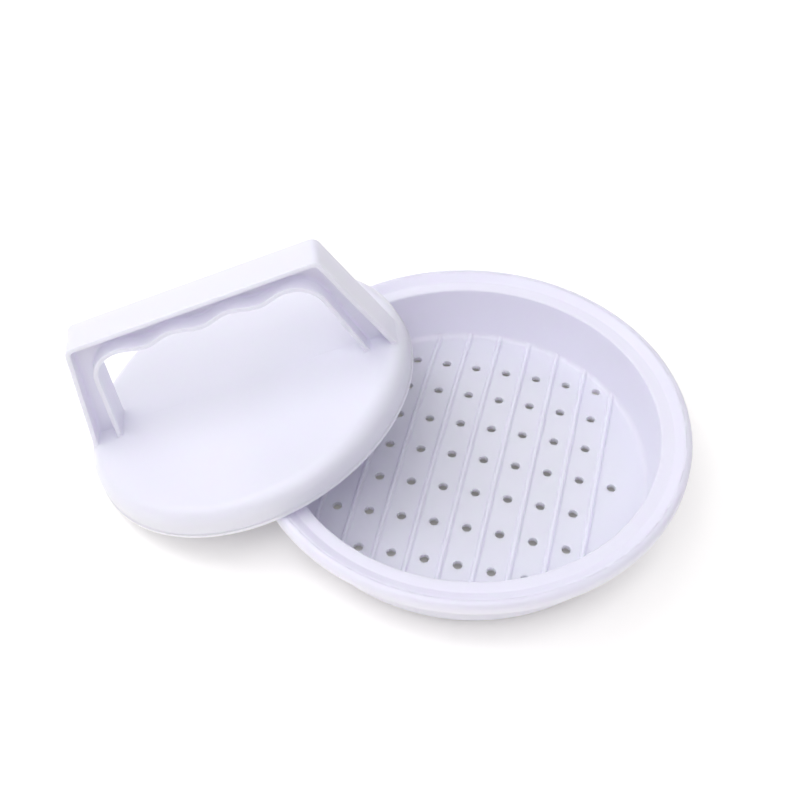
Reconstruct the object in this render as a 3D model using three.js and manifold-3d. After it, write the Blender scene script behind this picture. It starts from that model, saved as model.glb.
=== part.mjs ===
// A hand press mould for soft cheese or patties, in two mouldings.
// The dish has a rolled rim, a crowned, ribbed and perforated floor and a foot ring.
// The press lid is a shallow inverted cup with an arched I-section handle moulded on top.
// The lid lies beside the dish: its lip is on the table and its underside leans on the dish's rim.
// Millimetres, +Z up. The origin is on the table, under the middle of the object's box.

import * as THREE from 'three';
import Module from 'manifold-3d';
import { mergeVertices } from 'three/addons/utils/BufferGeometryUtils.js';

// ---- Dish ----
const DISH_X = 25.0;            // the dish's axis stands to the right of the origin
const RIM_R = 62.5;             // widest radius of the rolled rim
const RIM_TOP_Z = 23.4;
const RIM_ROUND_R = 1.8;        // rounding of the rim's outer shoulder
const SKIRT_BOTTOM_Z = 19.7;    // lower edge of the rim's turned-down skirt
const STEP_R = 57.7;            // the bead's inner foot, where the ledge ends
const BEAD_FLANK_WIDTH = 1.0;
const BEAD_FLANK_HEIGHT = 0.6;
const LEDGE_Z = 21.9;
const LEDGE_CHAMFER = 0.4;      // where the ledge meets the inner wall
const CAVITY_TOP_R = 53.8;      // inner wall at the ledge
const CAVITY_FLOOR_R = 52.7;    // inner wall at the floor
const WALL = 1.7;
const FLOOR_EDGE_Z = 3.0;       // floor's top face beside the wall
const CROWN = 3.25;             // how much the floor rises to its middle
const CROWN_R = 50.4;           // the crown runs out here
const FOOT_R = 52.0;            // outer radius of the foot ring
const FOOT_WIDTH = 1.0;
const FOOT_ARC_DEGREES = 67;    // how far the outer rounding runs before it meets the foot ring
const CORNER_R = 1.6;           // inner rounding between the floor and the wall
const HEEL_R = 4.0;             // outer rounding below the wall

// ---- Floor pattern ----
const RIB_PITCH = 9.4;
const RIBS_EACH_SIDE = 4;
const RIB_WIDTH = 1.3;
const RIB_HEIGHT = 1.0;
const RIB_END_R = 53.0;         // inside the wall
const HOLE_R = 1.3;
const HOLE_CUT_LENGTH = 12.0;
const HOLE_ROW_PITCH = 12.25;
const HOLE_ROWS_EACH_SIDE = 3;
const HOLE_COLUMNS_EACH_SIDE = 5;

// ---- Press lid, in its own frame: origin at the middle of its top face, handle along X ----
const LID_R = 49.3;             // largest radius of the rounded shoulder
const LID_ROUND_R = 4.5;
const LID_HEIGHT = 8.0;
const LID_LIP_R = 49.75;
const LID_LIP_HEIGHT = 0.9;
const LID_DRAFT = 0.1;          // how much the skirt widens down to the lip, outside
const LID_INNER_DRAFT = 0.2;
const LID_INNER_ROUND_R = 3.0;
const LID_WALL = 1.7;
const LID_RIBS_EACH_SIDE = 4;
const LID_RIB_DEPTH = 0.4;
const LID_RIB_END_R = 44.0;

// ---- Handle, in the lid's frame ----
const HANDLE_TOP_Z = 35.0;
const HANDLE_FOOT_X = 47.0;     // outer face of each leg, at the lid's top face
const HANDLE_SHOULDER_X = 37.3; // the same face, produced to the handle's top
const HANDLE_CORNER_R = 2.8;
const HANDLE_DEPTH = 11.2;
const OUTER_FLANGE = 1.5;
const WEB = 1.4;
const GRIP_FOOT_X = 37.8;       // finger side of each leg, at the lid's top face
const GRIP_SHOULDER_X = 32.15;  // the same face, produced to the grip's height
const GRIP_Z = 27.45;           // mean height of the wavy grip
const GRIP_WAVE = 0.8;
const GRIP_WAVELENGTH = 16.8;
const GRIP_WAVES = 3;
const GRIP_CORNER_R = 8.4;
const INNER_FLANGE = 1.4;

// ---- Where the lid lies ----
const LID_CENTRE = new THREE.Vector3(DISH_X - 66.76, -2.6, 24.4);
const LID_LEAN = THREE.MathUtils.degToRad(-19.5);  // rises towards the dish
const LID_ROLL = THREE.MathUtils.degToRad(1.3);
const LID_TURN = THREE.MathUtils.degToRad(21.0);   // handle's turn about the lid's own axis

// ---- Facets ----
const ROUND_SEGMENTS = 64;
const HOLE_SEGMENTS = 8;
const ARC_STEPS = 4;
const SHOULDER_STEPS = 6;
const WAVE_STEPS = 8;           // for each finger hollow
const FLOOR_RINGS = 4;
const RIB_STEPS = 4;
const OVERLAP = 0.6;            // how far joined shapes run into each other

const wasm = await Module();
wasm.setup();

function solidOf(geometry) {
  const bare = geometry.index ? geometry.clone() : geometry;
  bare.deleteAttribute('normal');
  bare.deleteAttribute('uv');
  const merged = mergeVertices(bare, 1e-4);
  return new wasm.Manifold(new wasm.Mesh({
    numProp: 3,
    vertProperties: Float32Array.from(merged.attributes.position.array),
    triVerts: Uint32Array.from(merged.index.array),
  }));
}

function geometryOf(solid) {
  const mesh = solid.getMesh();
  const geometry = new THREE.BufferGeometry();
  geometry.setAttribute('position', new THREE.BufferAttribute(mesh.vertProperties, 3));
  geometry.setIndex(new THREE.BufferAttribute(mesh.triVerts, 1));
  geometry.computeVertexNormals();
  return geometry;
}

// Points of an arc about (x, y), from one angle to another, both ends included.
function arc(x, y, radius, fromDegrees, toDegrees, steps) {
  return Array.from({ length: steps + 1 }, (_, i) => {
    const angle = THREE.MathUtils.degToRad(THREE.MathUtils.lerp(fromDegrees, toDegrees, i / steps));
    return new THREE.Vector2(x + radius * Math.cos(angle), y + radius * Math.sin(angle));
  });
}

// A solid turned about +Z from a profile of (radius, height) points, listed from the axis at the
// bottom, outwards, and back to the axis at the top.
function turned(profile) {
  const geometry = new THREE.LatheGeometry(profile, ROUND_SEGMENTS);
  geometry.rotateX(Math.PI / 2);
  return solidOf(geometry);
}

// A prism with its outline in the XZ plane and its depth along Y, centred on y = 0.
function prismAlongY(points, depth) {
  const geometry = new THREE.ExtrudeGeometry(new THREE.Shape(points), { depth, bevelEnabled: false });
  geometry.rotateX(Math.PI / 2);
  geometry.translate(0, depth / 2, 0);
  return solidOf(geometry);
}

function floorTopZ(radius) {
  return FLOOR_EDGE_Z + CROWN * Math.max(0, 1 - (radius / CROWN_R) ** 2);
}

function dishProfile() {
  const point = (r, z) => new THREE.Vector2(r, z);
  const footInnerR = FOOT_R - FOOT_WIDTH;
  const cornerX = CAVITY_FLOOR_R - CORNER_R;
  const cornerZ = FLOOR_EDGE_Z + CORNER_R;
  const heelX = CAVITY_FLOOR_R + WALL - HEEL_R;
  const heelZ = FLOOR_EDGE_Z - WALL + HEEL_R;
  const underside = [];
  const floor = [];
  for (let i = 0; i <= FLOOR_RINGS; i += 1) {
    const r = footInnerR * i / FLOOR_RINGS;
    underside.push(point(r, floorTopZ(r) - WALL));
  }
  for (let i = FLOOR_RINGS; i >= 0; i -= 1) {
    const r = CROWN_R * i / FLOOR_RINGS;
    floor.push(point(r, floorTopZ(r)));
  }
  return [
    ...underside,
    point(footInnerR, 0),
    point(FOOT_R, 0),
    ...arc(heelX, heelZ, HEEL_R, -FOOT_ARC_DEGREES, 0, ARC_STEPS),
    point(CAVITY_TOP_R + WALL, LEDGE_Z - WALL),
    point(RIM_R - WALL, LEDGE_Z - WALL),
    point(RIM_R - WALL, SKIRT_BOTTOM_Z),
    point(RIM_R, SKIRT_BOTTOM_Z),
    ...arc(RIM_R - RIM_ROUND_R, RIM_TOP_Z - RIM_ROUND_R, RIM_ROUND_R, 0, 90, ARC_STEPS),
    point(STEP_R + BEAD_FLANK_WIDTH, LEDGE_Z + BEAD_FLANK_HEIGHT),
    point(STEP_R, LEDGE_Z),
    point(CAVITY_TOP_R + LEDGE_CHAMFER, LEDGE_Z),
    point(CAVITY_TOP_R, LEDGE_Z - LEDGE_CHAMFER),
    ...arc(cornerX, cornerZ, CORNER_R, 0, -90, ARC_STEPS),
    ...floor,
  ];
}

function floorRib(x) {
  const halfLength = Math.sqrt(RIB_END_R ** 2 - x ** 2);
  const along = Array.from({ length: RIB_STEPS + 1 }, (_, i) => halfLength * (2 * i / RIB_STEPS - 1));
  const lineAbove = (height) => along.map((y) => new THREE.Vector2(y, floorTopZ(Math.hypot(x, y)) + height));
  const outline = [...lineAbove(RIB_HEIGHT), ...lineAbove(-OVERLAP).reverse()];
  return prismAlongY(outline, RIB_WIDTH).rotate([0, 0, 90]).translate([x, 0, 0]);
}

function drainHole(x, y) {
  const geometry = new THREE.CylinderGeometry(HOLE_R, HOLE_R, HOLE_CUT_LENGTH, HOLE_SEGMENTS);
  geometry.rotateX(Math.PI / 2);
  return solidOf(geometry).translate([x, y, floorTopZ(Math.hypot(x, y))]);
}

// Holes stand in the middle of the strips between ribs. The outermost strip has one hole only.
function drainHoles() {
  const holes = [];
  for (let column = -HOLE_COLUMNS_EACH_SIDE; column < HOLE_COLUMNS_EACH_SIDE; column += 1) {
    const outermost = column === -HOLE_COLUMNS_EACH_SIDE || column === HOLE_COLUMNS_EACH_SIDE - 1;
    const rows = outermost ? 0 : HOLE_ROWS_EACH_SIDE;
    for (let row = -rows; row <= rows; row += 1) {
      holes.push(drainHole((column + 0.5) * RIB_PITCH, row * HOLE_ROW_PITCH));
    }
  }
  return holes;
}

function makeDish() {
  let dish = turned(dishProfile());
  for (let i = -RIBS_EACH_SIDE; i <= RIBS_EACH_SIDE; i += 1) {
    dish = dish.add(floorRib(i * RIB_PITCH));
  }
  return dish.subtract(wasm.Manifold.union(drainHoles()));
}

function lidProfile() {
  const point = (r, z) => new THREE.Vector2(r, z);
  const innerR = LID_R - LID_WALL;
  const lipZ = LID_LIP_HEIGHT - LID_HEIGHT;
  return [
    point(0, -LID_WALL),
    ...arc(innerR - LID_INNER_ROUND_R, -LID_WALL - LID_INNER_ROUND_R, LID_INNER_ROUND_R, 90, 0, ARC_STEPS),
    point(innerR + LID_INNER_DRAFT, -LID_HEIGHT),
    point(LID_LIP_R, -LID_HEIGHT),
    point(LID_LIP_R, lipZ),
    point(LID_R + LID_DRAFT, lipZ),
    ...arc(LID_R - LID_ROUND_R, -LID_ROUND_R, LID_ROUND_R, 0, 90, SHOULDER_STEPS),
    point(0, 0),
  ];
}

function lidRib(y) {
  const halfLength = Math.sqrt(LID_RIB_END_R ** 2 - y ** 2);
  const geometry = new THREE.BoxGeometry(2 * halfLength, RIB_WIDTH, LID_RIB_DEPTH + OVERLAP);
  geometry.translate(0, y, -LID_WALL + (OVERLAP - LID_RIB_DEPTH) / 2);
  return solidOf(geometry);
}

// The rounding of a corner at b, between the lines from a and to c.
function roundedCorner(a, b, c, radius, steps) {
  const into = b.clone().sub(a).normalize();
  const out = c.clone().sub(b).normalize();
  const turn = Math.atan2(into.cross(out), into.dot(out));
  const setback = radius * Math.tan(Math.abs(turn) / 2);
  const start = b.clone().addScaledVector(into, -setback);
  const side = Math.sign(turn);
  const centre = start.clone().add(new THREE.Vector2(-into.y, into.x).multiplyScalar(side * radius));
  const first = THREE.MathUtils.radToDeg(Math.atan2(start.y - centre.y, start.x - centre.x));
  return arc(centre.x, centre.y, radius, first, first + THREE.MathUtils.radToDeg(turn), steps);
}

// Right half of an arch outline, from below the foot up to the crown, moved outwards by an offset.
function archHalf({ footX, shoulderX, topZ, cornerR, steps }, offset) {
  const slope = (footX - shoulderX) / topZ;
  const shift = offset * Math.hypot(1, slope);
  const legX = (z) => footX + shift - slope * z;
  const foot = new THREE.Vector2(legX(-OVERLAP), -OVERLAP);
  const shoulder = new THREE.Vector2(legX(topZ + offset), topZ + offset);
  const crown = new THREE.Vector2(0, topZ + offset);
  return [foot, ...roundedCorner(foot, shoulder, crown, cornerR + offset, steps)];
}

function mirrored(half) {
  return half.map((p) => new THREE.Vector2(-p.x, p.y)).reverse();
}

const OUTER_ARCH = {
  footX: HANDLE_FOOT_X,
  shoulderX: HANDLE_SHOULDER_X,
  topZ: HANDLE_TOP_Z,
  cornerR: HANDLE_CORNER_R,
  steps: ARC_STEPS,
};

const GRIP_ARCH = {
  footX: GRIP_FOOT_X,
  shoulderX: GRIP_SHOULDER_X,
  topZ: GRIP_Z + GRIP_WAVE,
  cornerR: GRIP_CORNER_R,
  steps: 2 * ARC_STEPS,
};

function outerArch(offset) {
  const half = archHalf(OUTER_ARCH, offset);
  return [...half, ...mirrored(half)];
}

function gripArch(offset) {
  const half = archHalf(GRIP_ARCH, offset);
  const steps = WAVE_STEPS * GRIP_WAVES;
  const reach = GRIP_WAVELENGTH * GRIP_WAVES / 2;
  const wave = Array.from({ length: steps + 1 }, (_, i) => {
    const x = reach * (1 - 2 * i / steps);
    return new THREE.Vector2(x, GRIP_Z + offset - GRIP_WAVE * Math.cos(2 * Math.PI * x / GRIP_WAVELENGTH));
  });
  return [...half, ...wave, ...mirrored(half)];
}

function strip(outer, inner, depth) {
  return prismAlongY([...outer, ...inner.slice().reverse()], depth);
}

function makeHandle() {
  const outerFlange = strip(outerArch(0), outerArch(-OUTER_FLANGE), HANDLE_DEPTH);
  const web = strip(outerArch(-OUTER_FLANGE / 2), gripArch(INNER_FLANGE / 2), WEB);
  const innerFlange = strip(gripArch(INNER_FLANGE), gripArch(0), HANDLE_DEPTH);
  return outerFlange.add(web).add(innerFlange);
}

function makeLid() {
  let lid = turned(lidProfile()).add(makeHandle());
  for (let i = -LID_RIBS_EACH_SIDE; i <= LID_RIBS_EACH_SIDE; i += 1) {
    lid = lid.add(lidRib(i * RIB_PITCH));
  }
  return lid;
}

function whitePlastic() {
  return new THREE.MeshStandardMaterial({ color: 0xeeeef8, roughness: 0.3, metalness: 0 });
}

const dish = new THREE.Mesh(geometryOf(makeDish()), whitePlastic());
dish.name = 'mould_dish';
dish.position.x = DISH_X;

const lid = new THREE.Mesh(geometryOf(makeLid()), whitePlastic());
lid.name = 'press_lid';
lid.rotation.set(LID_ROLL, LID_LEAN, LID_TURN);
lid.position.copy(LID_CENTRE);

const mould = new THREE.Group();
mould.add(dish, lid);

export default mould;
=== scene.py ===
# A hand press mould in glossy white plastic: a perforated dish, and a press lid with an arched handle
# that leans on the dish's rim. Both are fine meshes that stand for the two CAD nodes.
# Shapes are worked out in millimetres, in each moulding's own frame, and placed in metres.

import math

import bmesh
import bpy
from mathutils import Matrix, Vector
from mathutils.geometry import delaunay_2d_cdt


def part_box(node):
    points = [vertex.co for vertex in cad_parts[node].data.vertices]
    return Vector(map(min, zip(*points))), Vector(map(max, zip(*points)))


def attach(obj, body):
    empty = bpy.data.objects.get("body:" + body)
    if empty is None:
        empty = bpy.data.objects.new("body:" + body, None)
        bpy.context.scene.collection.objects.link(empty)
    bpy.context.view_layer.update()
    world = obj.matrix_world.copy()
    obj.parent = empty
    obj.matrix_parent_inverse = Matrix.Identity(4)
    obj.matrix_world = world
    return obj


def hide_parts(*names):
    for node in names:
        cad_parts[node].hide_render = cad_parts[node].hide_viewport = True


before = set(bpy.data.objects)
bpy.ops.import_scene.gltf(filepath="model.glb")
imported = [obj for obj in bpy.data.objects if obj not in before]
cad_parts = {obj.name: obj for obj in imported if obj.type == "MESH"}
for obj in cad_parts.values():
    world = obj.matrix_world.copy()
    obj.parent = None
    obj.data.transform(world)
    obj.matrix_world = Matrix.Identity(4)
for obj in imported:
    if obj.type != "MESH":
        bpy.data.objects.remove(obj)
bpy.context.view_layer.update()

MM = 0.001

# ---- Dish, about its own axis, with z = 0 on the table ----
DISH_LOW, DISH_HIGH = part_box("mould_dish")
DISH_X = (DISH_LOW.x + DISH_HIGH.x) / 2 / MM
RIM_R = (DISH_HIGH.x - DISH_LOW.x) / 2 / MM
RIM_TOP_Z = DISH_HIGH.z / MM
RIM_ROUND_R = 1.8
SKIRT_BOTTOM_Z = 19.7
SKIRT_WALL = 1.7
SKIRT_EDGE_ROUND = 0.3
SKIRT_ROOT_ROUND = 0.2
BEAD_FOOT_R = 57.5      # the bead of the rim rises from the ledge between these two radii
BEAD_TOP_R = 60.1
BEAD_FOOT_ROUND = 0.8
BEAD_TOP_ROUND = 1.4
LEDGE_Z = 21.9
LEDGE_EDGE_ROUND = 0.6
LEDGE_UNDER_ROUND = 0.9
CAVITY_TOP_R = 53.8
CAVITY_FLOOR_R = 52.7
WALL = 1.7
FLOOR_EDGE_Z = 3.0
CROWN = 3.25
CORNER_R = 1.6
CORNER_X = CAVITY_FLOOR_R - CORNER_R
CORNER_Z = FLOOR_EDGE_Z + CORNER_R
HEEL_R = 4.0
HEEL_X = CAVITY_FLOOR_R + WALL - HEEL_R
HEEL_Z = FLOOR_EDGE_Z - WALL + HEEL_R
HEEL_DEGREES = 67
CROWN_R = 50.4
FOOT_OUTER_R = 52.0
FOOT_INNER_R = 51.0
FOOT_EDGE_ROUND = 0.2
UNDERSIDE_EDGE_R = 50.9

# ---- Floor pattern ----
RIB_PITCH = 9.4
RIBS_EACH_SIDE = 4
RIB_HALF_TOP = 0.4
RIB_HALF_FOOT = 0.75
RIB_HEIGHT = 1.0
RIB_EDGE_ROUND = 0.35
RIB_FOOT_ROUND = 0.5
HOLE_R = 1.3
HOLE_TOP_ROUND = 0.14
HOLE_UNDER_ROUND = 0.12
HOLE_ROW_PITCH = 12.25
HOLE_ROWS_EACH_SIDE = 3
HOLE_COLUMNS_EACH_SIDE = 5

# ---- Press lid, in its own frame: origin at the middle of its top face, handle along X ----
LID_R = 49.3
LID_ROUND_R = 4.5
LID_FLAT_R = LID_R - LID_ROUND_R
LID_HEIGHT = 8.0
LID_LIP_R = 49.75
LID_LIP_HEIGHT = 0.9
LID_LIP_BLEND = 0.35    # how far above the lip's corner the skirt starts to run out to it
LID_LIP_TOP_ROUND = 0.3
LID_LIP_FOOT_ROUND = 0.2
LID_SKIRT_TOP_R = LID_R + 0.02
LID_SKIRT_FOOT_R = LID_R + 0.06
LID_SKIRT_FOOT_ROUND = 0.5
LID_INNER_DRAFT = 0.2
LID_INNER_ROUND = 0.3
LID_WALL = 1.7
LID_UNDER_ROUND = 3.0
LID_RIB_HEIGHT = 0.4
LID_RIB_ROUND = 0.15
LID_RIB_END_R = 44.0
LID_RIB_END_SLOPE = 0.5
PARTING_HALF_WIDTH = 0.14
PARTING_HEIGHT = 0.07
PARTING_GAP = 0.6       # between the parting line's end and a foot's fillet

# ---- Handle, in the lid's frame ----
HANDLE_TOP_Z = 35.0
HANDLE_FOOT_X = 47.0
HANDLE_SHOULDER_X = 37.3
HANDLE_CORNER_R = 2.8
HANDLE_HALF_DEPTH = 5.6
OUTER_FLANGE = 1.5
HALF_WEB = 0.7
GRIP_FOOT_X = 37.8
GRIP_SHOULDER_X = 32.15
GRIP_Z = 27.45
GRIP_WAVE = 0.8
GRIP_WAVELENGTH = 16.8
GRIP_WAVES = 3
GRIP_CORNER_R = 8.4
INNER_FLANGE = 1.4
FLANGE_ROUND = 0.32
WEB_FILLET = 0.8
WEB_RUN = 1.2           # how far a half section runs on along the web beyond its flange
FOOT_FILLET = 0.55
FOOT_FILLET_OUTSIDE = 0.3
FOOT_TOP_Z = 1.3        # the handle's loops start this high above the lid's face
PARTING_REACH = GRIP_FOOT_X - FOOT_FILLET - PARTING_GAP

# ---- Where the lid lies ----
LID_CENTRE = Vector((DISH_X - 66.76, -2.6, 24.4))
LID_LEAN = math.radians(-19.5)
LID_ROLL = math.radians(1.3)
LID_TURN = math.radians(21.0)

# ---- Fineness of the meshes ----
ROUND_SEGMENTS = 288
HOLE_SEGMENTS = 24
INSIDE_LOOP = 0.99      # a triangle inside a hole's loop has its middle within this share of the radius
ARC_DEGREES = 12
CORNER_MESH_DEGREES = -12       # the floor's patch ends here on the rounding to the wall
SHOULDER_MESH_DEGREES = 24      # the lid's patch ends here on its shoulder
GUARD = 0.12            # edge loops this far beside each rounding keep the flat faces flat
CLEARANCE = 0.05        # loose points and lines end this far before an edge they mustn't touch
SHOULDER_GAP = 0.4      # the skirt's first ring is this far below the lid's shoulder
CORNER_RINGS = range(0, 72, 8)              # degrees round the rounding beside the dish's floor
SHOULDER_RINGS = (-2, *range(0, 66, 6))     # degrees round the lid's shoulder
FLOOR_GRID = 2.35
UNDERSIDE_GRID = 4.7
GRID_MARGIN = 1.0       # between the grid's points and the holes or the floor's edge
FLOOR_RIB_STEP = 4.0
LID_RIB_STEP = 8.0
GUARD_CLEARANCE = 0.7   # loose points stay this far from the guard points round the handle's feet
LEG_STEPS = 12
CORNER_STEPS = 14
CROWN_STEPS = 60

# ---- Camera, aimed at a point on the table ----
CAMERA_AIM = Vector((-0.76, 22.26, 0.0)) * MM
CAMERA_DISTANCE = 404.7 * MM
CAMERA_AZIMUTH = math.radians(13.6)
CAMERA_ELEVATION = math.radians(48.45)
CAMERA_ROLL = math.radians(-0.17)
CAMERA_FIELD_OF_VIEW = math.radians(34.08)

# ---- Studio, in metres ----
SKY_COLOUR = (0.98, 0.98, 1.04, 1)
SKY_STRENGTH = 0.30
FLOOR_HALF = 3.0
FLOOR_COLOUR = (0.94, 0.925, 0.86, 1)
# The floor glows, though it is no lamp; under the dish and the lid and just beside them the glow is dimmed
# to a painted shadow.
GLOW_COLOUR = (1.0, 0.995, 0.99, 1)
GLOW = 0.30
GLOW_IN_PAINTED_SHADOW = 0.06       # what is left of the glow in the painted shadow under the object, so that the drain holes stay dark
PAINTED_SHADOW_DISCS = [((0.025, 0.0, 0.0), 0.060), ((-0.040, 0.0, 0.0), 0.045)]     # centre and radius of each disc of painted shadow, under the dish and under the lid
GLOW_STARTS = -0.015    # the painted shadow fades into the full glow between these distances beyond the discs' edges
GLOW_FULL = 0.004
LIGHT_COLOUR = (1.0, 0.997, 1.075)
LIGHT_DISTANCE = 0.9
LIGHT_SIZE = 0.6
STUDIO_LIGHTS = [       # name, degrees round from the front to the right, degrees up, watts
    ("left_low", -135, 15, 0.90),
    ("back", -180, 40, 0.70),
    ("side", -90, 45, 1.40),
    ("side_high", -90, 65, 1.75),
    ("front_left", -45, 55, 0.20),
    ("front_high", 0, 65, 2.10),
    ("right_high", 45, 65, 0.60),
]


# ---------------------------------------------------------------- outlines

def arc(centre, radius, first_degrees, last_degrees, step=ARC_DEGREES):
    """Points of an arc in a plane, both ends included."""
    sweep = last_degrees - first_degrees
    count = max(2, math.ceil(abs(sweep) / step))
    points = []
    for i in range(count + 1):
        angle = math.radians(first_degrees + sweep * i / count)
        points.append(Vector((centre[0] + radius * math.cos(angle), centre[1] + radius * math.sin(angle))))
    return points


def rounding(before, corner, after, radius):
    """The arc that rounds a corner, with a guard point on the straight at each end."""
    into = (corner - before).normalized()
    away = (after - corner).normalized()
    turn = math.atan2(into.x * away.y - into.y * away.x, into.dot(away))
    setback = radius * math.tan(abs(turn) / 2)
    start = corner - into * setback
    side = Vector((-into.y, into.x)) * math.copysign(radius, turn)
    centre = start + side
    first = math.degrees(math.atan2(-side.y, -side.x))
    curve = arc(centre, radius, first, first + math.degrees(turn))
    return [curve[0] - into * GUARD, *curve, curve[-1] + away * GUARD]


def rounded(corners):
    """An open outline through corners given as (x, y) or, where they are rounded, (x, y, radius)."""
    points = [Vector(c[:2]) for c in corners]
    outline = []
    for i, corner in enumerate(corners):
        if len(corner) == 3:
            outline += rounding(points[i - 1], points[i], points[i + 1], corner[2])
        else:
            outline.append(points[i])
    return outline


# ---------------------------------------------------------------- mesh helpers

def bridge(bm, loop_a, loop_b):
    """A band of quads between two closed loops with as many vertices."""
    count = len(loop_a)
    for i in range(count):
        j = (i + 1) % count
        bm.faces.new((loop_a[i], loop_a[j], loop_b[j], loop_b[i]))


def bridge_all(bm, loops):
    """Bands of quads from each loop to the next."""
    for loop_a, loop_b in zip(loops, loops[1:]):
        bridge(bm, loop_a, loop_b)


def circle(radius, count=ROUND_SEGMENTS, centre=(0.0, 0.0)):
    """Points (x, y) of a circle."""
    turns = [2 * math.pi * i / count for i in range(count)]
    return [(centre[0] + radius * math.cos(t), centre[1] + radius * math.sin(t)) for t in turns]


def turned(bm, profile):
    """Rings of vertices, one for each (radius, height) point, joined by quads."""
    rings = [[bm.verts.new((x, y, p.y)) for x, y in circle(p.x)] for p in profile]
    bridge_all(bm, rings)
    return rings


def inside(x, y, polygon):
    """True if a point lies in a polygon of vertices."""
    hit = False
    for a, b in zip(polygon, polygon[1:] + polygon[:1]):
        if (a.co.y > y) != (b.co.y > y):
            if x < a.co.x + (y - a.co.y) * (b.co.x - a.co.x) / (b.co.y - a.co.y):
                hit = not hit
    return hit


def patch(bm, outer, gaps, lines, points, height, is_gap):
    """Fills the space inside a loop of vertices, round the gaps, with a surface z = height(x, y).
    Its edges follow the given lines. is_gap(x, y) tells where it stays open."""
    places, edges, known = [], [], {}

    def add(row, closed):
        first = len(places)
        places.extend(row)
        edges.extend((first + i, first + i + 1) for i in range(len(row) - 1))
        if closed:
            edges.append((len(places) - 1, first))
        return first

    for loop in [outer, *gaps]:
        first = add([v.co.to_2d() for v in loop], closed=True)
        known.update({first + i: v for i, v in enumerate(loop)})
    for line in lines:
        add([Vector(p) for p in line], closed=False)
    places.extend(Vector(p) for p in points)
    verts, _, faces, sources, _, _ = delaunay_2d_cdt(places, edges, [], 0, 1e-5, True)
    made = []
    for place, origins in zip(verts, sources):
        vertex = next((known[s] for s in origins if s in known), None)
        made.append(vertex or (place.x, place.y))
    for face in faces:
        x, y = (sum(verts[i][axis] for i in face) / 3 for axis in (0, 1))
        if is_gap(x, y):
            continue
        for i in face:
            if isinstance(made[i], tuple):
                made[i] = bm.verts.new((*made[i], height(*made[i])))
        bm.faces.new([made[i] for i in face])


def rib_section(half_top, half_foot, height, edge_round, foot_round):
    """(distance from the rib's middle, height) from the flat beside a rib to its middle."""
    return rounded([
        (half_foot + 3 * foot_round, 0.0),
        (half_foot, 0.0, foot_round),
        (half_top, height, edge_round),
        (0.0, height),
    ])


def rise(section, distance):
    """A rib's height at a distance from its middle."""
    if distance >= section[0].x:
        return 0.0
    for outer, inner in zip(section, section[1:]):
        if distance >= inner.x:
            share = (outer.x - distance) / (outer.x - inner.x)
            return outer.y + (inner.y - outer.y) * share
    return section[-1].y


def rib_lines(middle, section, end_radius, step):
    """The edge lines of a rib that runs along Y at x = middle, and the two creases round its ends."""
    lines, ends = [], []
    sides = [(middle - p.x, p.y) for p in section] + [(middle + p.x, p.y) for p in section[-2::-1]]
    reach = min(math.sqrt(end_radius(0.0) ** 2 - x ** 2) for x, _ in sides) - step / 4
    count = round(2 * reach / step)
    for x, height in sides:
        end = math.sqrt(end_radius(height) ** 2 - x ** 2)
        stops = [reach * (2 * i / count - 1) for i in range(count + 1)]
        lines.append([(x, y) for y in [-end, *stops, end]])
        ends.append((x, end))
    return [*lines, ends, [(x, -y) for x, y in ends]]


def nearest_rib(x):
    """How far x is from the middle of the nearest rib."""
    index = max(-RIBS_EACH_SIDE, min(RIBS_EACH_SIDE, round(x / RIB_PITCH)))
    return abs(x - index * RIB_PITCH)


# ---------------------------------------------------------------- dish

FLOOR_RIB = rib_section(RIB_HALF_TOP, RIB_HALF_FOOT, RIB_HEIGHT, RIB_EDGE_ROUND, RIB_FOOT_ROUND)


def crowned(radius):
    """The floor's top face, without its ribs and without the rounding to the wall."""
    return FLOOR_EDGE_Z + CROWN * max(0.0, 1 - (radius / CROWN_R) ** 2)


def floor_and_corner(radius):
    """Height of the floor without its ribs, or of the rounding to the wall."""
    if radius <= CORNER_X:
        return crowned(radius)
    return CORNER_Z - math.sqrt(CORNER_R ** 2 - (radius - CORNER_X) ** 2)


def dish_top(x, y):
    """Height of the floor's top face with its ribs, up to the rounding beside the wall."""
    radius = math.hypot(x, y)
    return max(floor_and_corner(radius), crowned(radius) + rise(FLOOR_RIB, nearest_rib(x)))


def dish_under(x, y):
    """Height of the floor's underside."""
    return crowned(math.hypot(x, y)) - WALL


def rib_end_radius(height):
    """Where a rib of that height runs out on the rounding between floor and wall."""
    return CORNER_X + math.sqrt(max(0.0, CORNER_R ** 2 - (CORNER_R - height) ** 2))


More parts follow.
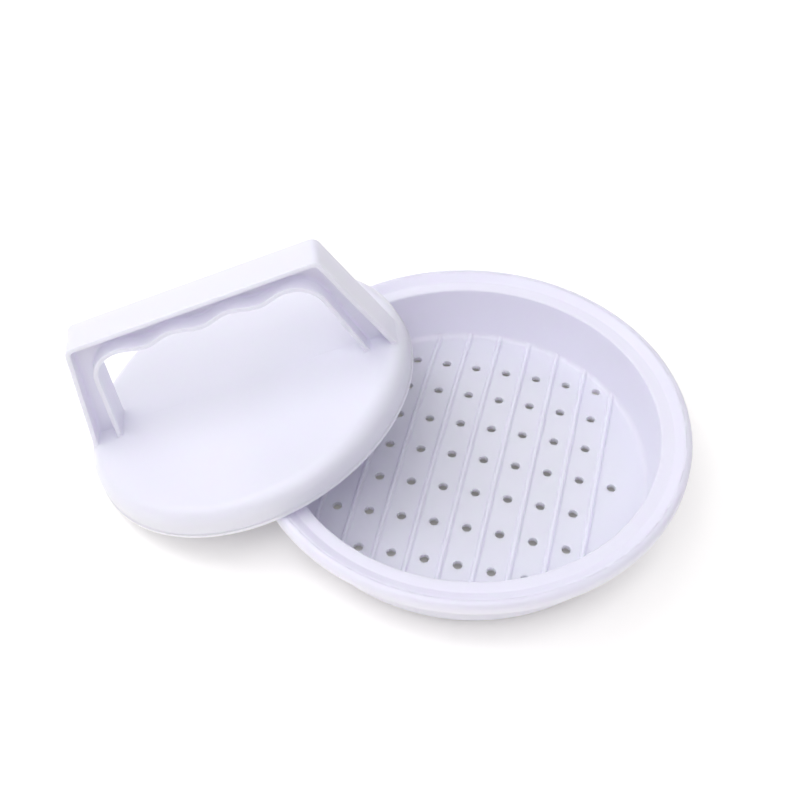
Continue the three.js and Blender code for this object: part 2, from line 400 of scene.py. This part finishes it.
def dish_profile():
    """From the rounding beside the floor, up the wall, over the rim and back down to the foot."""
    inner_corner = arc((CORNER_X, CORNER_Z), CORNER_R, CORNER_MESH_DEGREES, 0)
    rim = rounded([
        (CAVITY_FLOOR_R, CORNER_Z),
        (CAVITY_TOP_R, LEDGE_Z, LEDGE_EDGE_ROUND),
        (BEAD_FOOT_R, LEDGE_Z, BEAD_FOOT_ROUND),
        (BEAD_TOP_R, RIM_TOP_Z, BEAD_TOP_ROUND),
        (RIM_R, RIM_TOP_Z, RIM_ROUND_R),
        (RIM_R, SKIRT_BOTTOM_Z, SKIRT_EDGE_ROUND),
        (RIM_R - SKIRT_WALL, SKIRT_BOTTOM_Z, SKIRT_EDGE_ROUND),
        (RIM_R - SKIRT_WALL, LEDGE_Z - WALL, SKIRT_ROOT_ROUND),
        (CAVITY_TOP_R + WALL, LEDGE_Z - WALL, LEDGE_UNDER_ROUND),
        (CAVITY_FLOOR_R + WALL, HEEL_Z),
    ])
    heel = arc((HEEL_X, HEEL_Z), HEEL_R, 0, -HEEL_DEGREES)
    foot = rounded([
        (FOOT_OUTER_R, heel[-1].y - GUARD),
        (FOOT_OUTER_R, 0.0, FOOT_EDGE_ROUND),
        (FOOT_INNER_R, 0.0, FOOT_EDGE_ROUND),
        (FOOT_INNER_R, FLOOR_EDGE_Z - WALL),
        (UNDERSIDE_EDGE_R, FLOOR_EDGE_Z - WALL),
    ])
    return inner_corner[:-1] + rim + heel[1:] + foot


def hole_places():
    """Holes stand in the middle of the strips between ribs. The outermost strip has one hole only."""
    places = []
    for column in range(-HOLE_COLUMNS_EACH_SIDE, HOLE_COLUMNS_EACH_SIDE):
        outermost = column in (-HOLE_COLUMNS_EACH_SIDE, HOLE_COLUMNS_EACH_SIDE - 1)
        rows = 0 if outermost else HOLE_ROWS_EACH_SIDE
        for row in range(-rows, rows + 1):
            places.append(((column + 0.5) * RIB_PITCH, row * HOLE_ROW_PITCH))
    return places


HOLE_PLACES = hole_places()


def hole_wall(bm, centre):
    """The wall of one drain hole with its rounded mouths: returns the top and the bottom loop."""
    mouths = [
        (dish_top, HOLE_TOP_ROUND, -1, arc((0, 0), HOLE_TOP_ROUND, 0, 90, 22.5)),
        (dish_under, HOLE_UNDER_ROUND, 1, arc((0, 0), HOLE_UNDER_ROUND, 90, 0, 45)),
    ]
    loops = []
    for surface, mouth, inwards, curve in mouths:
        edge = [surface(x, y) for x, y in circle(HOLE_R + mouth, HOLE_SEGMENTS, centre)]
        for p in curve:
            places = circle(HOLE_R + mouth - p.y, HOLE_SEGMENTS, centre)
            drop = inwards * (mouth - p.x)
            loops.append([bm.verts.new((x, y, z + drop)) for (x, y), z in zip(places, edge)])
    bridge_all(bm, loops)
    return loops[0], loops[-1]


def near_hole(x, y, reach):
    """True if a drain hole's middle is closer than the reach."""
    return any(math.hypot(x - hx, y - hy) < reach for hx, hy in HOLE_PLACES)


def floor_grid(limit_radius, step):
    """Loose points clear of the holes, which keep the crown smooth."""
    points = []
    count = math.ceil(limit_radius / step)
    for i in range(-count, count + 1):
        for j in range(-count, count + 1):
            x, y = i * step, j * step
            if math.hypot(x, y) < limit_radius - GRID_MARGIN and not near_hole(x, y, HOLE_R + GRID_MARGIN):
                points.append((x, y))
    return points


def floor_top_points():
    """Loose points of the floor's top face: rings round the holes and round the edge, and a grid."""
    mouth = HOLE_R + HOLE_TOP_ROUND
    clear_of_rib = FLOOR_RIB[0].x + 2 * CLEARANCE
    points = []
    for place in HOLE_PLACES:
        points += circle(mouth + GUARD, HOLE_SEGMENTS, place)
    corner_rings = [CORNER_X + CORNER_R * math.sin(math.radians(degrees)) for degrees in CORNER_RINGS]
    for radius in [CROWN_R, *corner_rings]:
        beyond_ribs = radius > rib_end_radius(RIB_HEIGHT) + CLEARANCE
        points += [
            (x, y) for x, y in circle(radius)
            if not near_hole(x, y, mouth + 2 * GUARD) and (beyond_ribs or nearest_rib(x) > clear_of_rib)
        ]
    points += [p for p in floor_grid(CROWN_R, FLOOR_GRID) if nearest_rib(p[0]) > clear_of_rib]
    return points


def build_dish():
    """The dish's mesh: rim and walls turned, the two faces of the floor patched round the holes."""
    bm = bmesh.new()
    rings = turned(bm, dish_profile())
    walls = [hole_wall(bm, place) for place in HOLE_PLACES]
    lines = []
    for i in range(-RIBS_EACH_SIDE, RIBS_EACH_SIDE + 1):
        lines += rib_lines(i * RIB_PITCH, FLOOR_RIB, rib_end_radius, FLOOR_RIB_STEP)

    def in_top_mouth(x, y):
        return near_hole(x, y, INSIDE_LOOP * (HOLE_R + HOLE_TOP_ROUND))

    def in_under_mouth(x, y):
        return near_hole(x, y, INSIDE_LOOP * (HOLE_R + HOLE_UNDER_ROUND))

    tops = [top for top, _ in walls]
    unders = [under for _, under in walls]
    under_points = floor_grid(UNDERSIDE_EDGE_R, UNDERSIDE_GRID)
    patch(bm, rings[0], tops, lines, floor_top_points(), dish_top, in_top_mouth)
    patch(bm, rings[-1], unders, [], under_points, dish_under, in_under_mouth)
    return bm


# ---------------------------------------------------------------- press lid

LID_RIB = rib_section(RIB_HALF_TOP, RIB_HALF_FOOT, LID_RIB_HEIGHT, LID_RIB_ROUND, LID_RIB_ROUND)


def lid_top(x, y):
    """The lid's top face and rounded shoulder, with the fine parting line between the handle's legs."""
    radius = math.hypot(x, y)
    if radius > LID_FLAT_R:
        return math.sqrt(LID_ROUND_R ** 2 - (radius - LID_FLAT_R) ** 2) - LID_ROUND_R
    if abs(x) < PARTING_REACH:
        return PARTING_HEIGHT * max(0.0, 1 - abs(y) / PARTING_HALF_WIDTH)
    return 0.0


def lid_under(x, y):
    """The face that presses, with low ribs along X."""
    if math.hypot(x, y) > LID_RIB_END_R:
        return -LID_WALL
    return -LID_WALL - rise(LID_RIB, nearest_rib(y))


def lid_rib_end_radius(height):
    """Where a rib under the lid has that height at its sloping end."""
    return LID_RIB_END_R - LID_RIB_END_SLOPE * height


def lid_profile():
    """From the shoulder down the skirt, round the lip and up to the pressing face."""
    inner_r = LID_R - LID_WALL
    shoulder = arc((LID_FLAT_R, -LID_ROUND_R), LID_ROUND_R, SHOULDER_MESH_DEGREES, 0, 6)
    lip_z = LID_LIP_HEIGHT - LID_HEIGHT
    skirt = rounded([
        (LID_SKIRT_TOP_R, -LID_ROUND_R - SHOULDER_GAP),
        (LID_SKIRT_FOOT_R, lip_z + LID_LIP_BLEND, LID_SKIRT_FOOT_ROUND),
        (LID_LIP_R, lip_z, LID_LIP_TOP_ROUND),
        (LID_LIP_R, -LID_HEIGHT, LID_LIP_FOOT_ROUND),
        (inner_r + LID_INNER_DRAFT, -LID_HEIGHT, LID_INNER_ROUND),
        (inner_r, -LID_WALL, LID_UNDER_ROUND),
        (LID_FLAT_R - LID_UNDER_ROUND, -LID_WALL),
    ])
    return shoulder + skirt[:-1]


def arch_half(foot_x, shoulder_x, top_z, corner_r, crown):
    """(point, direction to the arch's inside) from a foot to the middle of an arch, in the XZ plane.
    crown(x) gives the height and slope of its top."""
    slope = (foot_x - shoulder_x) / top_z
    lean = math.degrees(math.atan(slope))
    leg_inwards = Vector((-math.cos(math.radians(lean)), -math.sin(math.radians(lean))))
    setback = corner_r * math.tan(math.radians(90 - lean) / 2)
    corner_x = shoulder_x - setback
    centre = Vector((corner_x, top_z - corner_r))
    leg_end = centre - leg_inwards * corner_r
    stations = []
    for i in range(LEG_STEPS):
        z = FOOT_TOP_Z + (leg_end.y - FOOT_TOP_Z) * i / LEG_STEPS
        stations.append((Vector((foot_x - slope * z, z)), leg_inwards))
    for i in range(CORNER_STEPS):
        angle = math.radians(lean + (90 - lean) * i / CORNER_STEPS)
        outwards = Vector((math.cos(angle), math.sin(angle)))
        stations.append((centre + outwards * corner_r, -outwards))
    for i in range(CROWN_STEPS + 1):
        x = corner_x * (1 - i / CROWN_STEPS)
        z, tilt = crown(x)
        stations.append((Vector((x, z)), Vector((tilt, -1)).normalized()))
    return stations


def flat_crown(x):
    """Height and slope of the handle's straight top."""
    return HANDLE_TOP_Z, 0.0


def wavy_crown(x):
    """Height and slope of the grip's underside, with its finger hollows."""
    if abs(x) > GRIP_WAVELENGTH * GRIP_WAVES / 2:
        return GRIP_Z + GRIP_WAVE, 0.0
    phase = 2 * math.pi * x / GRIP_WAVELENGTH
    slope = GRIP_WAVE * 2 * math.pi / GRIP_WAVELENGTH * math.sin(phase)
    return GRIP_Z - GRIP_WAVE * math.cos(phase), slope


def half_flange(thickness):
    """(depth from the flange's face, y) from the face's middle, round the edge and on to the web."""
    outline = rounded([
        (0.0, 0.0),
        (0.0, HANDLE_HALF_DEPTH, FLANGE_ROUND),
        (thickness, HANDLE_HALF_DEPTH, FLANGE_ROUND),
        (thickness, HALF_WEB, WEB_FILLET),
        (thickness + WEB_RUN, HALF_WEB),
    ])
    return outline[:-1]


def handle_section():
    """The I-section as (on the outer side, depth from that side's face, y), all round."""
    half = [(True, p.x, p.y) for p in half_flange(OUTER_FLANGE)]
    half += [(False, p.x, p.y) for p in reversed(half_flange(INNER_FLANGE))]
    other = [(side, depth, -y) for side, depth, y in half[-2:0:-1]]
    return half + other


def handle_stations():
    """Loops of points along the handle, from just above one foot to just above the other."""
    outer = arch_half(HANDLE_FOOT_X, HANDLE_SHOULDER_X, HANDLE_TOP_Z, HANDLE_CORNER_R, flat_crown)
    grip = arch_half(GRIP_FOOT_X, GRIP_SHOULDER_X, GRIP_Z + GRIP_WAVE, GRIP_CORNER_R, wavy_crown)
    section = handle_section()
    loops = []
    for (outer_point, outer_in), (grip_point, grip_in) in zip(outer, grip):
        loop = []
        for on_outer, depth, y in section:
            p = outer_point + outer_in * depth if on_outer else grip_point - grip_in * depth
            loop.append(Vector((p.x, y, p.y)))
        loops.append(loop)
    other = [[Vector((-p.x, p.y, p.z)) for p in loop] for loop in loops[-2::-1]]
    return loops + other


def foot_line(on_outer, depth):
    """x of a section point at the height of the lid's face, and how much x falls per millimetre up."""
    if on_outer:
        slope = (HANDLE_FOOT_X - HANDLE_SHOULDER_X) / HANDLE_TOP_Z
        return HANDLE_FOOT_X - depth * math.hypot(1, slope), slope
    slope = (GRIP_FOOT_X - GRIP_SHOULDER_X) / (GRIP_Z + GRIP_WAVE)
    return GRIP_FOOT_X + depth * math.hypot(1, slope), slope


def outline_normals(outline):
    """Unit normals that point out of a closed outline of (x, y) points that runs anticlockwise."""
    normals = []
    count = len(outline)
    for i in range(count):
        back = (outline[i] - outline[i - 1]).normalized()
        ahead = (outline[(i + 1) % count] - outline[i]).normalized()
        along = (back + ahead).normalized()
        normals.append(Vector((along.y, -along.x)))
    return normals


def foot_loops():
    """Loops of points from just above the right foot down its fillet to the lid's face."""
    section = handle_section()
    starts = [foot_line(on_outer, depth) for on_outer, depth, _ in section]
    outline = [Vector((x, y)) for (x, _), (_, _, y) in zip(starts, section)]
    normals = outline_normals(outline)
    loops = []
    for degrees in range(0, 91, 15):
        loop = []
        for (x0, slope), start, normal in zip(starts, outline, normals):
            fillet = FOOT_FILLET_OUTSIDE if normal.x > 0.5 and x0 > LID_FLAT_R else FOOT_FILLET
            away = fillet * (1 - math.cos(math.radians(degrees)))
            above = fillet * (1 - math.sin(math.radians(degrees)))
            x, y = start + normal * away
            for _ in range(6):
                z = lid_top(x, y) + above
                x = x0 - slope * z + normal.x * away
            loop.append(Vector((x, y, lid_top(x, y) + above)))
        loops.append(loop)
    return loops


def handle_course():
    """Loops of points from the right foot over the handle to the left foot, both on the lid's face."""
    right = foot_loops()
    left = [[Vector((-p.x, p.y, p.z)) for p in loop] for loop in right]
    return right[::-1] + handle_stations() + left


def foot_guards(feet):
    """Points just outside the handle's feet, which keep the lid's face flat beside their fillets."""
    guards = []
    for foot in feet:
        flat = [v.co.to_2d() for v in foot]
        turn = 1 if sum(a.cross(b) for a, b in zip(flat, flat[1:] + flat[:1])) > 0 else -1
        guards += [p + n * turn * 2 * GUARD for p, n in zip(flat, outline_normals(flat))]
    return guards


def patch_lid_top(bm, rim, feet):
    """Fills the lid's top face and shoulder round the handle's feet."""
    def in_foot(x, y):
        return any(inside(x, y, foot) for foot in feet)

    guards = foot_guards(feet)
    points = []
    for degrees in SHOULDER_RINGS:
        radius = LID_FLAT_R + LID_ROUND_R * math.sin(math.radians(degrees))
        for place in circle(radius):
            clear = all((Vector(place) - g).length > GUARD_CLEARANCE for g in guards)
            if clear and not in_foot(*place):
                points.append(place)
    points += [tuple(g) for g in guards]

    reach = PARTING_REACH - CLEARANCE
    guard_y = PARTING_HALF_WIDTH + GUARD
    parting_ys = (-guard_y, -PARTING_HALF_WIDTH, 0.0, PARTING_HALF_WIDTH, guard_y)
    lines = [[(-reach, y), (reach, y)] for y in parting_ys]
    patch(bm, rim, feet, lines, points, lid_top, in_foot)


def patch_lid_under(bm, edge):
    """Fills the pressing face with its ribs."""
    lines = []
    for i in range(-RIBS_EACH_SIDE, RIBS_EACH_SIDE + 1):
        crosswise = rib_lines(i * RIB_PITCH, LID_RIB, lid_rib_end_radius, LID_RIB_STEP)
        lines += [[(y, x) for x, y in line] for line in crosswise]
    patch(bm, edge, [], lines, [], lid_under, lambda x, y: False)


def build_lid():
    """The lid's mesh: skirt turned, handle swept, top face and pressing face patched."""
    bm = bmesh.new()
    rings = turned(bm, lid_profile())
    loops = [[bm.verts.new(p) for p in loop] for loop in handle_course()]
    bridge_all(bm, loops)
    patch_lid_top(bm, rings[0], [loops[0], loops[-1]])
    patch_lid_under(bm, rings[-1])
    return bm


# ---------------------------------------------------------------- pieces

def piece(name, bm, placing, body, node, material):
    """Finishes a mesh as an object that rides on a body and stands for a CAD node."""
    bmesh.ops.recalc_face_normals(bm, faces=bm.faces)
    if any(len(edge.link_faces) != 2 for edge in bm.edges):
        raise ValueError(f"{name} isn't closed: {sum(len(e.link_faces) != 2 for e in bm.edges)}")
    for face in bm.faces:
        face.smooth = True
    bm.transform(Matrix.Scale(MM, 4) @ placing)
    mesh = bpy.data.meshes.new(name)
    bm.to_mesh(mesh)
    bm.free()
    mesh.materials.append(material)
    made = bpy.data.objects.new(name, mesh)
    bpy.context.scene.collection.objects.link(made)
    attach(made, body)
    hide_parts(node)


def white_plastic(name):
    """Glossy moulded plastic: white with a faint cool tint. Light scatters a few millimetres into it."""
    material = bpy.data.materials.new(name)
    material.use_nodes = True
    nodes, links = material.node_tree.nodes, material.node_tree.links
    shader = nodes["Principled BSDF"]
    place = nodes.new("ShaderNodeTexCoord")

    clouds = nodes.new("ShaderNodeTexNoise")
    clouds.inputs["Scale"].default_value = 28.0
    clouds.inputs["Detail"].default_value = 3.0
    tint = nodes.new("ShaderNodeValToRGB")
    tint.color_ramp.elements[0].color = (0.845, 0.836, 0.938, 1)
    tint.color_ramp.elements[1].color = (0.855, 0.848, 0.950, 1)
    links.new(place.outputs["Object"], clouds.inputs["Vector"])
    links.new(clouds.outputs["Fac"], tint.inputs["Fac"])
    links.new(tint.outputs["Color"], shader.inputs["Base Color"])

    sheen_map = nodes.new("ShaderNodeMapRange")
    sheen_map.inputs["To Min"].default_value = 0.29
    sheen_map.inputs["To Max"].default_value = 0.36
    links.new(clouds.outputs["Fac"], sheen_map.inputs["Value"])
    links.new(sheen_map.outputs["Result"], shader.inputs["Roughness"])

    peel = nodes.new("ShaderNodeTexNoise")
    peel.inputs["Scale"].default_value = 900.0
    peel.inputs["Detail"].default_value = 2.0
    links.new(place.outputs["Object"], peel.inputs["Vector"])
    bump = nodes.new("ShaderNodeBump")
    bump.inputs["Strength"].default_value = 0.06
    bump.inputs["Distance"].default_value = 0.0002
    links.new(peel.outputs["Fac"], bump.inputs["Height"])
    links.new(bump.outputs["Normal"], shader.inputs["Normal"])

    shader.inputs["Subsurface Weight"].default_value = 1.0
    shader.inputs["Subsurface Radius"].default_value = (1.0, 0.9, 1.0)
    shader.inputs["Subsurface Scale"].default_value = 0.0027
    return material


def place_pieces():
    """Builds both pieces where they lie: the dish flat on the table, the lid leaning on its rim."""
    dish_place = Matrix.Translation((DISH_X, 0, 0))
    turn = Matrix.Rotation(LID_ROLL, 4, "X") @ Matrix.Rotation(LID_LEAN, 4, "Y")
    turn = turn @ Matrix.Rotation(LID_TURN, 4, "Z")
    lid_place = Matrix.Translation(LID_CENTRE) @ turn
    dish_white = white_plastic("dish_plastic")
    piece("dish", build_dish(), dish_place, "dish", "mould_dish", dish_white)
    lid_white = white_plastic("lid_plastic")
    piece("lid", build_lid(), lid_place, "lid", "press_lid", lid_white)


# ---------------------------------------------------------------- studio

def beyond_disc(nodes, links, centre, radius):
    """A node that gives how far a point lies outside a disc."""
    place = nodes.new("ShaderNodeNewGeometry")
    away = nodes.new("ShaderNodeVectorMath")
    away.operation = "DISTANCE"
    away.inputs[1].default_value = centre
    links.new(place.outputs["Position"], away.inputs[0])
    beyond = nodes.new("ShaderNodeMath")
    beyond.operation = "SUBTRACT"
    beyond.inputs[1].default_value = radius
    links.new(away.outputs["Value"], beyond.inputs[0])
    return beyond


def floor_material():
    """Plain white with a glow, dimmed to a painted shadow under the object and just beside it."""
    material = bpy.data.materials.new("floor_white_painted_shadow")
    material.use_nodes = True
    nodes, links = material.node_tree.nodes, material.node_tree.links
    shader = nodes["Principled BSDF"]
    shader.inputs["Base Color"].default_value = FLOOR_COLOUR
    shader.inputs["Roughness"].default_value = 0.9
    shader.inputs["Specular IOR Level"].default_value = 0.0
    shader.inputs["Emission Color"].default_value = GLOW_COLOUR
    # Painted shadow: the glow is dimmed inside the discs round the dish and the lid and rises again just
    # beyond their edges.
    nearest = nodes.new("ShaderNodeMath")
    nearest.operation = "MINIMUM"
    for i, (centre, radius) in enumerate(PAINTED_SHADOW_DISCS):
        links.new(beyond_disc(nodes, links, centre, radius).outputs[0], nearest.inputs[i])
    glow = nodes.new("ShaderNodeMapRange")
    glow.interpolation_type = "SMOOTHSTEP"
    glow.inputs["From Min"].default_value = GLOW_STARTS
    glow.inputs["From Max"].default_value = GLOW_FULL
    glow.inputs["To Min"].default_value = GLOW_IN_PAINTED_SHADOW
    glow.inputs["To Max"].default_value = GLOW
    links.new(nearest.outputs[0], glow.inputs["Value"])
    links.new(glow.outputs["Result"], shader.inputs["Emission Strength"])
    return material


def studio_floor():
    """The table: one large square."""
    mesh = bpy.data.meshes.new("floor")
    corners = [(x * FLOOR_HALF, y * FLOOR_HALF, 0) for x, y in ((-1, -1), (1, -1), (1, 1), (-1, 1))]
    mesh.from_pydata(corners, [], [(0, 1, 2, 3)])
    mesh.materials.append(floor_material())
    made = bpy.data.objects.new("floor", mesh)
    bpy.context.scene.collection.objects.link(made)


def soft_light(name, azimuth, elevation, power):
    """A square area light that looks at the object. Azimuth 0 stands at the front, and 90 at the right."""
    data = bpy.data.lights.new(name, "AREA")
    data.shape = "SQUARE"
    data.size = LIGHT_SIZE
    data.energy = power
    data.color = LIGHT_COLOUR
    made = bpy.data.objects.new(name, data)
    a, e = math.radians(azimuth), math.radians(elevation)
    away = Vector((math.sin(a) * math.cos(e), -math.cos(a) * math.cos(e), math.sin(e)))
    made.location = away * LIGHT_DISTANCE
    made.rotation_euler = away.to_track_quat("Z", "Y").to_euler()
    bpy.context.scene.collection.objects.link(made)


def studio():
    """A pale grey sky, the glowing floor with its painted shadow under the object, and the soft lights."""
    world = bpy.data.worlds.new("studio")
    world.use_nodes = True
    sky = world.node_tree.nodes["Background"]
    sky.inputs["Color"].default_value = SKY_COLOUR
    sky.inputs["Strength"].default_value = SKY_STRENGTH
    bpy.context.scene.world = world
    studio_floor()
    for light in STUDIO_LIGHTS:
        soft_light(*light)
    bpy.context.scene.view_settings.view_transform = "Standard"


def camera():
    """Looks at CAMERA_AIM from the right of the ribs' direction and above."""
    sin_a, cos_a = math.sin(CAMERA_AZIMUTH), math.cos(CAMERA_AZIMUTH)
    sin_e, cos_e = math.sin(CAMERA_ELEVATION), math.cos(CAMERA_ELEVATION)
    back = Vector((sin_a * cos_e, -cos_a * cos_e, sin_e))
    level = Vector((cos_a, sin_a, 0.0))
    right = level * math.cos(CAMERA_ROLL) + back.cross(level) * math.sin(CAMERA_ROLL)
    axes = Matrix((right, back.cross(right), back)).transposed().to_4x4()
    data = bpy.data.cameras.new("camera")
    data.angle = CAMERA_FIELD_OF_VIEW
    data.clip_start = 0.01
    made = bpy.data.objects.new("camera", data)
    made.matrix_world = Matrix.Translation(CAMERA_AIM + back * CAMERA_DISTANCE) @ axes
    bpy.context.scene.collection.objects.link(made)
    bpy.context.scene.camera = made


camera()
studio()
place_pieces()
